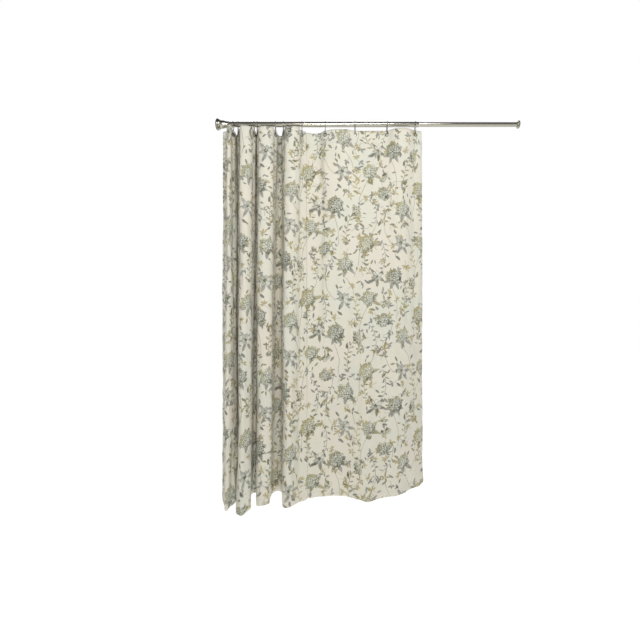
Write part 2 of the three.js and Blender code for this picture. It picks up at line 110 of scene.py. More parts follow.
# Each hook's place on the rod, the heading of the cloth through it, that line of cloth at the hem
# (x, y, extra drop, heading), then cloth points up to the next hook (x, y at the header, x, y at the
# hem, extra drop).
HANG = [
    (64, -40, (48, -68, 35, -60), [
        (64, -38, 63, -100, 45), (67, -66, 76, -104, 44), (81, -70, 91, -98, 36),
        (87, -40, 103, -75, 25),
    ]),
    (85.5, 48, (113, -50, 15, 80), [
        (91, 42, 116, -25, 5), (95, 66, 116.5, -6, 0), (102, 66, 120.5, -6, 0),
        (106, 42, 121, -30, 10),
    ]),
    (111, -48, (121.5, -60, 30, -88), [
        (126, -34, 124, -92, 52), (131, -55, 136, -122, 55), (152, -60, 151, -135, 56),
        (178, -52, 170, -122, 46), (189, -30, 186, -105, 36),
    ]),
    (191, 51, (184, -55, 18, 98), [
        (195, 40, 179, -12, 7), (196, 64, 184, 14, 2), (200, 70, 193, 18, 0), (204, 64, 201, 10, 0),
        (204, 40, 206, -15, 3),
    ]),
    (207, -51, (209, -45, 15, -86), [
        (217, -30, 212, -72, 27), (224, -46, 226, -86, 26), (250, -54, 248, -90, 22),
        (280, -46, 272, -86, 18), (295, -26, 285, -76, 16),
    ]),
    (299, 46, (283, -32, 8, 94), [
        (304, 36, 283, -4, 0), (309, 60, 294, 16, -6), (319, 68, 308, 20, -7), (329, 60, 322, 16, -6),
        (333, 34, 331, -6, 4),
    ]),
    (338, -46, (335, -45, 16, -86), [
        (347, -30, 338, -76, 30), (354, -46, 347, -96, 32), (380, -54, 368, -106, 29),
        (410, -46, 390, -88, 22), (424, -28, 407, -66, 22),
    ]),
    (432, 40, (424, -52, 22, 20), []),
    (549, -22, (556, -30, 6, 0), [
        (590, -14, 590, -28, 5), (625, -18, 637, -30, 5), (660, -13, 671, -42, 7),
    ]),
    (699, 6, (705, -62, 10, -20), [
        (740, 4, 728, -78, 12), (780, 4, 751, -85, 13), (820, 3, 800, -64, 9),
    ]),
    (860, -18, (862, -42, 5, 10), [
        (890, -22, 905, -32, 3), (930, -32, 940, -12, -2), (970, -22, 968, 12, -7),
    ]),
    (1002, 16, (1015, 45, -10, 40), []),
]
LEFT_EDGE = (31, 14, 38, -40, 20)
RIGHT_EDGE = (1036, 8, 1060, 82, -22)
SEAM = (455, 20, 455, -37, 14)  # where the pleats end and the panel begins, after hook SEAM_HOOK
PANEL_FOLDS = [(478, 34, 480, -34, 11), (505, 37, 508, -32, 9), (530, 24, 535, -31, 7)]
SEAM_HOOK = 8


# ---- shader maths written as expressions ------------------------------------------------------
class Line:
    """A socket's value in a material; arithmetic on it adds Math nodes."""

    def __init__(self, ink, socket):
        self.ink = ink
        self.socket = socket

    def maths(self, operation, *others):
        return self.ink.maths(operation, self, *others)

    def __add__(self, other):
        return self.maths("ADD", other)

    __radd__ = __add__

    def __sub__(self, other):
        return self.maths("SUBTRACT", other)

    def __rsub__(self, other):
        return self.ink.maths("SUBTRACT", other, self)

    def __mul__(self, other):
        return self.maths("MULTIPLY", other)

    __rmul__ = __mul__

    def __truediv__(self, other):
        return self.maths("DIVIDE", other)

    def __pow__(self, other):
        return self.maths("POWER", other)

    def __abs__(self):
        return self.maths("ABSOLUTE")

    def least(self, other):
        return self.maths("MINIMUM", other)

    def most(self, other):
        return self.maths("MAXIMUM", other)

    def ramp(self, low, high):
        """0 at low, 1 at high, smooth between them; low may be the larger."""
        settings = {"interpolation_type": "SMOOTHSTEP"}
        if low < high:
            return self.ink.node("MapRange", settings, {"Value": self, "From Min": low, "From Max": high})
        inputs = {"Value": self, "From Min": high, "From Max": low, "To Min": 1.0, "To Max": 0.0}
        return self.ink.node("MapRange", settings, inputs)


class Finish:
    """A material: node() adds a node and gives its first output, or the one that is named."""

    def __init__(self, name, roughness=0.5, metallic=0.0, **settings):
        self.material = bpy.data.materials.new(name)
        self.material.use_nodes = True
        self.tree = self.material.node_tree
        self.shader = self.tree.nodes["Principled BSDF"]
        self.set(self.shader, {"Roughness": roughness, "Metallic": metallic, **settings})

    def set(self, node, inputs):
        pairs = inputs.items() if isinstance(inputs, dict) else enumerate(inputs)
        for key, value in pairs:
            socket = node.inputs[key]
            if isinstance(value, Line):
                self.tree.links.new(value.socket, socket)
            elif isinstance(value, tuple) and len(value) == 3 and socket.type == "RGBA":
                socket.default_value = (*value, 1)
            else:
                socket.default_value = value

    def node(self, kind, settings=(), inputs=(), output=0):
        added = self.tree.nodes.new("ShaderNode" + kind)
        for name, value in dict(settings).items():
            setattr(added, name, value)
        self.set(added, inputs)
        return Line(self, added.outputs[output])

    def maths(self, operation, *values):
        return self.node("Math", {"operation": operation}, values)

    def moved(self, where, **moves):
        return self.node("Mapping", {}, {"Vector": where, **moves})

    def other(self, line, output):
        """Another output of the node that a line comes from."""
        return Line(self, line.socket.node.outputs[output])

    def parts(self, vector):
        x = self.node("SeparateXYZ", {}, [vector])
        return x, self.other(x, 1)

    def mix(self, share, first, second, blend="MIX"):
        settings = {"data_type": "RGBA", "blend_type": blend}
        return self.node("Mix", settings, {0: share, 6: first, 7: second}, 2)

    def grain(self, where, scale, detail=2.0, roughness=0.5, output=0):
        inputs = {"Vector": where, "Scale": scale, "Detail": detail, "Roughness": roughness}
        return self.node("TexNoise", {}, inputs, output)

    def bump(self, height, distance, strength=1.0):
        line = self.node("Bump", {}, {"Height": height, "Distance": distance, "Strength": strength})
        self.tree.links.new(line.socket, self.shader.inputs["Normal"])

    def feed(self, **lines):
        self.set(self.shader, {name.replace("_", " "): line for name, line in lines.items()})


def rgb(red, green, blue):
    """A colour written as display values 0-255, as the linear numbers a shader takes."""
    def linear(value):
        share = value / 255
        return share / 12.92 if share <= 0.04045 else ((share + 0.055) / 1.055) ** 2.4
    return linear(red), linear(green), linear(blue)


# ---- finishes ---------------------------------------------------------------------------------
def satin_metal(name, colour, roughness, streaks, **settings):
    """Brushed or polished metal with fine marks across its length, handling smudges and dust."""
    metal = Finish(name, roughness, 1.0, **settings)
    where = metal.node("TexCoord", output="Object")
    long_marks = metal.moved(where, Scale=(60.0, 900.0, 900.0))
    marks = metal.grain(long_marks, 1.0, 3.0, 0.6)
    smudge = metal.grain(where, 14.0, 3.0, 0.6)
    spots = metal.grain(where, 220.0, 2.0).ramp(0.62, 0.72)
    darker = tuple(c * 0.72 for c in colour)
    shade = metal.mix(marks * 0.35 + smudge * 0.3, colour, darker)
    metal.feed(
        Base_Color=metal.mix(spots * 0.18, shade, darker),
        Roughness=roughness + (marks - 0.5) * streaks + (smudge - 0.5) * 0.16 + spots * 0.1,
    )
    metal.bump(marks, 0.00002, 0.35)
    return metal.material


def moulded(name, colour, roughness, grain_scale, depth):
    """Moulded rubber or plastic: a fine grain, slight mottling and dust in the grain."""
    piece = Finish(name, roughness, 0.0)
    where = piece.node("TexCoord", output="Object")
    mottle = piece.grain(where, 60.0, 3.0, 0.6)
    grain = piece.grain(where, grain_scale, 2.0, 0.7)
    lighter = tuple(min(1.0, c * 1.25 + 0.01) for c in colour)
    piece.feed(
        Base_Color=piece.mix(mottle * 0.6 + grain * 0.2, colour, lighter),
        Roughness=roughness + (mottle - 0.5) * 0.2,
    )
    piece.bump(grain, depth, 0.6)
    return piece.material


nickel = satin_metal("satin_nickel_finish", (0.46, 0.445, 0.375), 0.22, 0.10)
bright_steel = satin_metal("hook_steel_finish", (0.26, 0.25, 0.23), 0.24, 0.08)
grommet_metal = satin_metal("grommet_nickel_finish", (0.20, 0.19, 0.165), 0.32, 0.10)
dull_steel = satin_metal("stem_steel_finish", (0.45, 0.45, 0.45), 0.34, 0.12)
spring_metal = satin_metal("spring_steel_finish", (0.30, 0.30, 0.31), 0.38, 0.12)
rubber = moulded("pad_rubber_finish", rgb(72, 72, 70), 0.72, 900.0, 0.00012)
white_nylon = moulded("white_plastic_finish", rgb(226, 224, 216), 0.42, 700.0, 0.00004)


# ---- the printed cloth ------------------------------------------------------------------------
REPEAT_X = 0.315
REPEAT_Y = 0.634
COLUMN_DROP = 0.361

CREAM = rgb(217, 213, 198)
SLATE = rgb(124, 125, 119)
DARK_SLATE = rgb(60, 62, 55)
OLIVE = rgb(142, 133, 78)
DARK_OLIVE = rgb(78, 74, 44)
OCHRE = rgb(170, 154, 94)
STEM = rgb(118, 114, 84)
ROSY = rgb(222, 211, 198)
GREENISH = rgb(208, 212, 199)
# a flower head's inks: light and middle florets, lines between petals, rim towards the light, shade
HEAD_INKS = {
    "grey": [rgb(211, 211, 197), rgb(182, 184, 168), rgb(76, 78, 66), rgb(152, 140, 80),
             rgb(58, 60, 50)],
    "ochre": [rgb(216, 214, 198), rgb(200, 200, 182), rgb(116, 112, 76), rgb(168, 152, 84),
              rgb(66, 66, 38)],
    "pale": [rgb(215, 214, 200), rgb(195, 197, 182), rgb(106, 108, 92), rgb(176, 166, 106),
             rgb(70, 72, 56)],
}
HEAD_FOOT = rgb(104, 98, 50)
PETAL = rgb(214, 213, 200)
PETAL_WASH = rgb(128, 129, 120)
PETAL_EDGE = rgb(104, 105, 95)
PETAL_GAP = rgb(92, 96, 86)
BLOOM_EYE = rgb(88, 84, 46)
BUD = rgb(196, 194, 174)
BUD_SHADE = rgb(70, 72, 52)
BUD_LINE = rgb(96, 96, 66)
STITCH = rgb(238, 236, 228)
WEAVE_SHADE = rgb(150, 146, 132)
DIMPLE_SHADE = rgb(120, 116, 100)


class Print:
    """Lays motifs of ink on the cloth. Motifs repeat down the cloth, and each next column of repeats
    sits lower by COLUMN_DROP, so that the print has no rows."""

    def __init__(self, finish, where, ground):
        self.finish = finish
        self.where = where
        self.x, self.y = finish.parts(where)
        self.colour = ground
        self.bleed = finish.grain(where, 110.0, 2.0, 0.6)
        self.wash = finish.grain(where, 38.0, 3.0, 0.6)

    def place(self, x, y, turn=0.0, centre=None):
        """The cloth's position measured from a motif's own middle, turned its way."""
        across, down = centre or (self.x, self.y)
        column = self.finish.maths("ROUND", (across - x) / REPEAT_X)
        side = across - x - column * REPEAT_X
        below = down - y - column * COLUMN_DROP
        wrapped = self.finish.maths("WRAP", below, REPEAT_Y / 2, -REPEAT_Y / 2)
        if turn == 0.0:
            return side, wrapped
        c, s = math.cos(math.radians(turn)), math.sin(math.radians(turn))
        return side * c + wrapped * s, wrapped * c - side * s

    def lay(self, mask, ink, strength=1.0):
        self.colour = self.finish.mix(mask * strength, self.colour, ink)

    def blade(self, along, off, length, width):
        """A pointed leaf that starts at 0 and ends at length, with a soft edge; 1 inside."""
        share = along / length
        fullness = (share * (1 - share)).most(0.0) * (4 * width)
        return (fullness - abs(off) + (self.bleed - 0.5) * 0.0022).ramp(-0.0004, 0.0012)

    def leaf(self, x, y, turn, length, width, ink, vein, strength=0.85):
        along, off = self.place(x, y, turn)
        shape = self.blade(along, off, length, width)
        self.lay(shape * (self.wash * 0.9 + 0.35), ink, strength)
        dark = shape * abs(off - width * 0.35).ramp(width * 0.55, 0.0)
        self.lay(dark, vein, strength * 0.55)

    def chance(self, index, seed):
        """A number from 0 to 1 that differs from leaf to leaf."""
        return self.finish.node("TexWhiteNoise", {"noise_dimensions": "1D"}, {"W": index + seed})

    def polar(self, across, down):
        """Distance and angle from a motif's middle."""
        return (across * across + down * down) ** 0.5, self.finish.maths("ARCTAN2", down, across)

    def whorl(self, across, down, leaves, length, width, ink, vein, spread, strength, seed):
        """Leaflets round one point, or fanned over part of a turn, no two of them alike."""
        reach, angle = self.polar(across, down)
        step = math.radians(spread) / leaves
        chance = self.chance(self.finish.maths("ROUND", angle / step), seed)
        local = self.finish.maths("WRAP", angle, step / 2, -step / 2)
        local = local + (chance - 0.5) * (step * 0.35)
        size = chance * 0.55 + 0.62
        along = reach * self.finish.maths("COSINE", local)
        off = reach * self.finish.maths("SINE", local)
        shape = self.blade((along - 0.002) / size, off, length, width)
        if spread < 360:
            half = math.radians(spread) / 2
            shape = shape * abs(angle).ramp(half + 0.02, half - 0.02)
        self.lay(shape * (self.wash * 0.9 + 0.35), ink, strength)
        self.lay(shape * abs(off).ramp(width * 0.5, 0.0) * along.ramp(length, 0.0), vein, strength * 0.7)

    def spray(self, x, y, turn, leaves, length, width, ink, vein, spread=360.0, strength=0.85):
        across, down = self.place(x, y, turn)
        self.whorl(across, down, leaves, length, width, ink, vein, spread, strength, x * 100 + y * 37)

    def cells(self, scale, shift):
        """A loose field of places over the cloth: the position measured from the nearest place, turned
        by its own angle, and two more numbers of its own."""
        moved = self.finish.moved(self.where, Location=(shift, shift, 0.0))
        inputs = {"Vector": moved, "Scale": scale, "Randomness": 0.8}
        cell = self.finish.node("TexVoronoi", {"voronoi_dimensions": "2D"}, inputs)
        first = self.finish.node("SeparateColor", {}, [self.finish.other(cell, 1)])
        second, third = self.finish.other(first, 1), self.finish.other(first, 2)
        middle_x, middle_y = self.finish.parts(self.finish.other(cell, 2))
        across, down = self.x + shift - middle_x, self.y + shift - middle_y
        c = self.finish.maths("COSINE", first * math.tau)
        s = self.finish.maths("SINE", first * math.tau)
        return across * c + down * s, down * c - across * s, second, third

    def loose_leaves(self, scale, shift, length, width, share, ink, vein, strength=0.85):
        """Single leaves strewn over the cloth, one to a place, at some of the places."""
        along, off, size, pick = self.cells(scale, shift)
        size = size * 0.6 + 0.65
        shape = self.blade(along / size + length / 2, off / size, length, width)
        shape = shape * pick.ramp(share, share - 0.01)
        self.lay(shape * (self.wash * 0.9 + 0.4), ink, strength)
        self.lay(shape * abs(off).ramp(width * 0.5, 0.0), vein, strength * 0.7)

    def loose_sprigs(self, scale, shift, leaves, length, width, spread, share, ink, vein, strength=0.85):
        """Small sprigs strewn over the cloth, each a fan of leaves on a short bent stem."""
        along, off, size, pick = self.cells(scale, shift)
        here = pick.ramp(share, share - 0.01)
        stem = abs(off - along * along * 9.0).ramp(0.0016, 0.0006)
        stem = stem * along.ramp(-0.026, -0.024) * along.ramp(0.003, 0.0)
        self.lay(stem * here, vein, strength * 0.6)
        self.whorl(along, off, leaves, length, width, ink, vein, spread, here * strength, size * 7.0)

    def arc(self, x, y, turn, radius):
        """Distance from the middle of a ring and the angle on it, for a ring whose line passes through
        the given point and bulges the way of turn."""
        across, down = self.place(x, y, turn)
        return self.polar(across + radius, down)

    def stem(self, x, y, turn, radius, sweep, ink, strength=0.8):
        """A thin curved stem; gives the distance and angle on its ring, and 1 along its length."""
        reach, angle = self.arc(x, y, turn, radius)
        half = math.radians(sweep) / 2
        within = abs(angle).ramp(half, half - 0.03)
        off_line = abs(reach - radius + (self.bleed - 0.5) * 0.002)
        self.lay(off_line.ramp(0.0018, 0.0006) * within, ink, strength * 0.8)
        return reach, angle, within

    def vine(self, x, y, turn, radius, sweep, leaves, length, width, ink, vein, strength=0.8):
        """A stem with leaves on alternate sides, tilted the way it grows."""
        reach, angle, within = self.stem(x, y, turn, radius, sweep, vein, strength)
        step = math.radians(sweep) / leaves
        inner = self.finish.maths("LESS_THAN", reach, radius)
        turn_on = angle + inner * (step / 2)
        index = self.finish.maths("ROUND", turn_on / step) + inner * 40
        chance = self.chance(index, x * 100 + y * 37)
        place = self.finish.maths("WRAP", turn_on, step / 2, -step / 2)
        size = chance * 0.7 + 0.6
        along = abs(reach - radius)
        slant = place * radius - along * (chance * 0.7 + 0.25)
        shape = self.blade(along / size, slant, length, width) * within * chance.ramp(0.1, 0.12)
        self.lay(shape * (self.wash * 1.1 + 0.3), ink, strength)
        self.lay(shape * self.bleed.ramp(0.5, 0.62), vein, strength * 0.85)

    def head(self, florets, x, y, radius, kind):
        """A round flower head of many small florets: the whole of a floret is in or out."""
        across, down = self.place(x, y, 0.0, florets["middle"])
        reach = (across * across + down * down * 1.08) ** 0.5
        inside = reach.ramp(radius, radius - 0.006)
        lean = (across * 0.75 + down * 0.66) / radius
        petal = florets["petal"]
        line = florets["line"]
        rim = reach.ramp(radius * 0.35, radius * 0.95)
        ring = rim * lean.ramp(0.15, -0.55)
        shade = inside * rim * lean.ramp(-0.05, 0.7) * petal
        light, middle, drawn, rim_ink, dark = HEAD_INKS[kind]
        self.lay(inside, self.finish.mix(florets["tone"], light, middle), 0.85)
        self.lay(inside * ring, rim_ink, 0.8)
        self.lay(inside * line, drawn, 0.9)
        self.lay(shade, dark, 0.85)
        self.lay(inside * rim * down.ramp(radius * 0.4, radius) * petal, HEAD_FOOT, 0.6)

    def bloom(self, florets, x, y, turn, size):
        """An open flower: overlapping pale petals with slate edges round a dark-dotted middle."""
        reach, angle = self.polar(*self.place(x, y, turn))
        step = math.radians(60)
        chance = self.chance(self.finish.maths("ROUND", angle / step), x * 100)
        local = abs(self.finish.maths("WRAP", angle, step / 2, -step / 2))
        edge = reach + local * local * (size * 0.9) + (self.bleed - 0.5) * 0.014 + chance * (size * 0.3)
        petals = edge.ramp(size * 1.1, size * 1.1 - 0.003)
        self.lay(petals, PETAL, 0.85)
        self.lay(petals * chance.ramp(0.3, 0.6) * (self.wash * 1.3), PETAL_WASH, 0.8)
        self.lay(petals * edge.ramp(size * 0.85, size * 1.08) * (self.wash + 0.2), PETAL_EDGE, 0.7)
        self.lay(petals * local.ramp(step * 0.36, step * 0.5), PETAL_GAP, 0.7)
        self.lay(reach.ramp(size * 0.36, size * 0.2) * florets["petal"], BLOOM_EYE, 0.9)

    def bud(self, florets, x, y, radius, turn):
        """A half-opened head seen from the side, dark along its outer edge."""
        across, down = self.place(x, y, turn, florets["middle"])
        reach = (across * across * 2.4 + down * down) ** 0.5
        inside = reach.ramp(radius, radius - 0.005)
        self.lay(inside, BUD, 0.85)
        self.lay(inside * across.ramp(radius * 0.2, -radius * 0.5) * florets["petal"], BUD_SHADE, 0.9)
        self.lay(inside * florets["line"], BUD_LINE, 0.75)


def printed_cloth():
    cloth = Finish("printed_cloth_finish", 0.86, 0.0)
    cloth.shader.inputs["Sheen Weight"].default_value = 0.12
    cloth.shader.inputs["Sheen Roughness"].default_value = 0.5
    place = cloth.node("UVMap", {"uv_map": "cloth"})
    waver = cloth.grain(place, 24.0, 2.0, 0.5, output=1)
    shift = cloth.node("VectorMath", {"operation": "SUBTRACT"}, [waver, (0.5, 0.5, 0.5)])
    shift = cloth.node("VectorMath", {"operation": "SCALE"}, {0: shift, "Scale": 0.012})
    drawn = cloth.node("VectorMath", {"operation": "ADD"}, [place, shift])

    # cream ground with faint pink and green washes
    rosy = cloth.grain(place, 4.2, 2.0, 0.5).ramp(0.46, 0.66)
    green = cloth.grain(cloth.moved(place, Location=(3.0, 7.0, 0.0)), 3.6, 2.0, 0.5).ramp(0.46, 0.64)
    ground = cloth.mix(rosy * 0.4, CREAM, ROSY)
    ground = cloth.mix(green * 0.45, ground, GREENISH)
    sheet = Print(cloth, drawn, ground)

    # florets: small cells, each in or out of a head as a whole, each with darker lines between petals
    flat = {"voronoi_dimensions": "2D"}
    florets_at = {"Vector": drawn, "Scale": 92.0, "Randomness": 0.9}
    cell = cloth.node("TexVoronoi", flat, florets_at)
    edge = cloth.node("TexVoronoi", {**flat, "feature": "DISTANCE_TO_EDGE"}, florets_at)
    fine = cloth.node("TexVoronoi", flat, {"Vector": drawn, "Scale": 150.0, "Randomness": 1.0})
    middle = cloth.parts(cloth.other(cell, 2))
    tone = cloth.node("SeparateColor", {}, [cloth.other(cell, 1)])
    petal_tone = cloth.node("SeparateColor", {}, [cloth.other(fine, 1)])
    florets = {
        "middle": middle,
        "tone": tone,
        "petal": petal_tone.ramp(0.2, 0.5),
        "line": edge.ramp(0.26, 0.06) * (petal_tone * 0.9 + 0.25),
    }
    botanical(sheet, florets)

    # the weave, its slubs, stitched hems
    across, down = cloth.parts(place)
    thread = {"Vector": place, "Scale": 210.0, "Distortion": 1.5, "Detail": 1.0, "Detail Scale": 2.0}
    warp = cloth.node("TexWave", {"bands_direction": "X"}, thread)
    weft = cloth.node("TexWave", {"bands_direction": "Y"}, thread)
    slub = cloth.grain(cloth.moved(place, Scale=(40.0, 700.0, 1.0)), 1.0, 2.0, 0.6)
    weave = warp * 0.5 + weft * 0.5 + slub * 0.5
    foot = abs(down - (CLOTH - FOOT_HEM) * MM)
    head = abs(down - HEADER_HEM * MM)
    left = abs(across - SIDE_HEM * MM)
    right = abs(across - (CLOTH - SIDE_HEM) * MM)
    thread_row = foot.least(head)
    thread_side = left.least(right)
    dash_row = cloth.maths("PINGPONG", across, 0.0016).ramp(0.0004, 0.0008)
    dash_side = cloth.maths("PINGPONG", down, 0.0016).ramp(0.0004, 0.0008)
    stitch_row = thread_row.ramp(0.0009, 0.0004) * dash_row
    stitch = stitch_row.most(thread_side.ramp(0.0009, 0.0004) * dash_side)
    # dimple: a band along each stitch line, pressed in by the bump and also darkened in the colour as
    # painted shade in the groove
    dimple = thread_row.ramp(0.0035, 0.0).most(thread_side.ramp(0.0035, 0.0))
    colour = cloth.mix(stitch * 0.7, sheet.colour, STITCH)
    colour = cloth.mix(weave * 0.16, colour, WEAVE_SHADE, "MULTIPLY")
    colour = cloth.mix(dimple * 0.12, colour, DIMPLE_SHADE, "MULTIPLY")
    cloth.feed(Base_Color=colour, Roughness=0.8 + (slub - 0.5) * 0.2)
    cloth.bump(weave * 0.5 - dimple * 2.0 + stitch * 1.2, 0.0003, 0.7)
    return cloth.material


def botanical(sheet, florets):
    """The print: strewn leaves and sprigs, then one repeat of stems, leaves, sprays and flower heads."""
    sheet.loose_sprigs(15.0, 3.1, 5, 0.021, 0.0050, 230, 0.48, OCHRE, DARK_OLIVE)
    sheet.loose_sprigs(13.0, 7.7, 3, 0.024, 0.0058, 170, 0.44, SLATE, DARK_SLATE)
    sheet.loose_leaves(24.0, 5.3, 0.027, 0.0056, 0.34, SLATE, DARK_SLATE)
    sheet.loose_leaves(22.0, 9.9, 0.026, 0.0054, 0.30, OLIVE, DARK_OLIVE)
    for x, y, turn, radius, sweep, leaves, length, width, ink, vein in [
        (0.020, 0.120, 8, 0.150, 74, 7, 0.024, 0.0050, SLATE, DARK_SLATE),
        (0.180, 0.090, 172, 0.120, 70, 5, 0.022, 0.0050, OCHRE, OLIVE),
        (0.285, 0.225, -12, 0.110, 84, 6, 0.022, 0.0050, SLATE, DARK_SLATE),
        (0.130, 0.320, 190, 0.160, 60, 6, 0.026, 0.0055, OLIVE, DARK_OLIVE),
        (0.050, 0.470, 20, 0.120, 78, 6, 0.022, 0.0048, SLATE, DARK_SLATE),
        (0.230, 0.500, 165, 0.100, 90, 6, 0.024, 0.0052, OLIVE, DARK_OLIVE),
    ]:
        sheet.vine(x, y, turn, radius, sweep, leaves, length, width, ink, vein)
    for x, y, turn, radius, sweep in [
        (0.150, 0.600, -30, 0.140, 50),
        (0.260, 0.350, 35, 0.170, 46),
        (0.080, 0.310, -14, 0.210, 58),
        (0.206, 0.150, 196, 0.180, 64),
        (0.020, 0.600, 168, 0.150, 74),
        (0.196, 0.480, 8, 0.240, 44),
    ]:
        sheet.stem(x, y, turn, radius, sweep, STEM)

    # leaves that show from behind the heads
    for x, y, turn, leaves, length, width, ink, vein in [
        (0.074, 0.214, 15, 7, 0.064, 0.0100, SLATE, DARK_SLATE),
        (0.242, 0.404, 50, 6, 0.066, 0.0100, OLIVE, DARK_OLIVE),
        (0.124, 0.510, -20, 6, 0.064, 0.0105, SLATE, DARK_SLATE),
        (0.256, 0.044, 30, 5, 0.062, 0.0100, OLIVE, DARK_OLIVE),
        (0.114, 0.043, 0, 6, 0.056, 0.0090, SLATE, DARK_SLATE),
        (0.294, 0.566, 20, 5, 0.054, 0.0090, DARK_OLIVE, DARK_SLATE),
    ]:
        sheet.spray(x, y, turn, leaves, length, width, ink, vein)

    # small loose sprays
    for x, y, turn, leaves, length, width, ink, vein in [
        (0.150, 0.160, -70, 5, 0.022, 0.0050, OCHRE, DARK_OLIVE),
        (0.195, 0.290, 130, 5, 0.024, 0.0052, OLIVE, DARK_OLIVE),
        (0.045, 0.395, -30, 5, 0.022, 0.0048, OCHRE, OLIVE),
        (0.015, 0.560, 75, 5, 0.024, 0.0050, OLIVE, DARK_OLIVE),
        (0.190, 0.425, 10, 3, 0.024, 0.0055, SLATE, DARK_SLATE),
        (0.010, 0.290, 100, 3, 0.026, 0.0060, SLATE, DARK_SLATE),
        (0.200, 0.205, -15, 3, 0.024, 0.0058, SLATE, DARK_SLATE),
    ]:
        sheet.spray(x, y, turn, leaves, length, width, ink, vein)

    # single leaves
    for x, y, turn, length, width, ink, vein in [
        (0.175, 0.010, 25, 0.036, 0.0072, SLATE, DARK_SLATE),
        (0.105, 0.120, -140, 0.034, 0.0070, DARK_SLATE, DARK_OLIVE),
        (0.255, 0.130, 70, 0.032, 0.0065, SLATE, DARK_SLATE),
        (0.130, 0.255, 100, 0.034, 0.0068, DARK_OLIVE, DARK_SLATE),
        (0.295, 0.310, -60, 0.036, 0.0072, DARK_SLATE, DARK_SLATE),
        (0.140, 0.400, 200, 0.032, 0.0065, SLATE, DARK_SLATE),
        (0.235, 0.590, -20, 0.034, 0.0070, SLATE, DARK_SLATE),
        (0.070, 0.600, 60, 0.030, 0.0060, DARK_OLIVE, DARK_SLATE),
    ]:
        sheet.leaf(x, y, turn, length, width, ink, vein)

    sheet.head(florets, 0.070, 0.205, 0.043, "grey")
    sheet.head(florets, 0.235, 0.395, 0.044, "ochre")
    sheet.head(florets, 0.120, 0.500, 0.041, "pale")
    sheet.head(florets, 0.250, 0.035, 0.039, "pale")
    sheet.head(florets, 0.012, 0.420, 0.036, "grey")
    sheet.bloom(florets, 0.110, 0.035, -15, 0.032)
    sheet.bloom(florets, 0.290, 0.560, 40, 0.030)
    sheet.bud(florets, 0.185, 0.235, 0.034, -25)
    sheet.bud(florets, 0.020, 0.335, 0.028, 60)


cloth_finish = printed_cloth()


# ---- making pieces ----------------------------------------------------------------------------
def new_piece(name, mesh_maker, finish, smooth_angle=35.0):
    """A mesh object from a bmesh, with its normals outward and smooth except at sharp corners."""
    mesh = bpy.data.meshes.new(name)
    mesh_maker.to_mesh(mesh)
    mesh_maker.free()
    mesh.materials.append(finish)
    piece = bpy.data.objects.new(name, mesh)
    bpy.context.scene.collection.objects.link(piece)
    mesh.shade_smooth()
    mesh.set_sharp_from_angle(angle=math.radians(smooth_angle))
    return piece


def ends(node):
    """A node's lowest and highest place along the rod, in millimetres."""
    low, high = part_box(node)
    return low.x / MM, high.x / MM


def stand_for(piece, node):
    """The piece is shown in place of a CAD node and rides where that node rides."""
    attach(piece, body_of_node[node])
    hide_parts(node)


def round_edges(shape, edges, radius):
    bmesh.ops.bevel(shape, geom=edges, offset=radius * MM, offset_type="OFFSET", affect="EDGES",
                    segments=3, profile=0.5, material=-1, clamp_overlap=True)


def turned(name, profile, finish, steps=72, rounding=0.4):
    """A closed profile of (along the axis, radius) in millimetres, spun about the axis."""
    shape = bmesh.new()
    corners = [shape.verts.new((along * MM, 0, radius * MM)) for along, radius in profile]
    for first, second in zip(corners, corners[1:]):
        shape.edges.new((first, second))
    if profile[0][1] > 0:
        shape.edges.new((corners[-1], corners[0]))
    bmesh.ops.spin(shape, geom=shape.verts[:] + shape.edges[:], cent=(0, 0, 0), axis=(1, 0, 0),
                   angle=2 * math.pi, steps=steps, use_merge=True)
    bmesh.ops.remove_doubles(shape, verts=shape.verts, dist=1e-7)
    bmesh.ops.recalc_face_normals(shape, faces=shape.faces)
    if rounding:
        corner = math.radians(28)
        sharp = [e for e in shape.edges if len(e.link_faces) == 2 and e.calc_face_angle(0) > corner]
        round_edges(shape, sharp, rounding)
    return new_piece(name, shape, finish)


def round_wire(points, thickness):
    """A bent round wire with rounded ends, as a bmesh, along points in millimetres."""
    curve = bpy.data.curves.new("wire", "CURVE")
    curve.dimensions = "3D"
    curve.bevel_depth = thickness / 2 * MM
    curve.bevel_resolution = 4
    curve.use_fill_caps = True
    line = curve.splines.new("POLY")
    line.points.add(len(points) - 1)
    for point, spot in zip(line.points, points):
        point.co = (*(spot * MM), 1)
    holder = bpy.data.objects.new("wire", curve)
    bpy.context.scene.collection.objects.link(holder)
    bpy.context.view_layer.update()
    mesh = bpy.data.meshes.new_from_object(holder)
    bpy.data.objects.remove(holder)
    shape = bmesh.new()
    shape.from_mesh(mesh)
    bmesh.ops.remove_doubles(shape, verts=shape.verts, dist=1e-7)
    caps = [face for face in shape.faces if len(face.verts) > 4]
    ends = list(dict.fromkeys(edge for cap in caps for edge in cap.edges))
    round_edges(shape, ends, thickness * 0.19)
    return shape


# ---- the rod ----------------------------------------------------------------------------------
def show_spring():
    """The compression spring between foot and tube, with a closed turn at each end, built at one fixed
    length.
    """
    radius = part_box("tension_spring")[1].z / MM - SPRING_WIRE / 2
    low, high = ends("tension_spring")
    start, end = low + SPRING_WIRE / 2, high - SPRING_WIRE / 2
    points = []
    for i in range(SPRING_TURNS * SPRING_STEPS + 1):
        turn = i / SPRING_STEPS
        angle = math.tau * turn
        open_share = min(max((turn - 1) / (SPRING_TURNS - 2), 0), 1)
        closed = min(turn, 1) + max(turn - SPRING_TURNS + 1, 0)
        x = start + closed * SPRING_WIRE + open_share * (end - start - 2 * SPRING_WIRE)
        points.append(Vector((x, radius * math.cos(angle), radius * math.sin(angle))))
    shape = round_wire(points, SPRING_WIRE)
    bmesh.ops.recalc_face_normals(shape, faces=shape.faces)
    spring = new_piece("coil_spring", shape, spring_metal)
    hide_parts("tension_spring")
    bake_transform(spring)


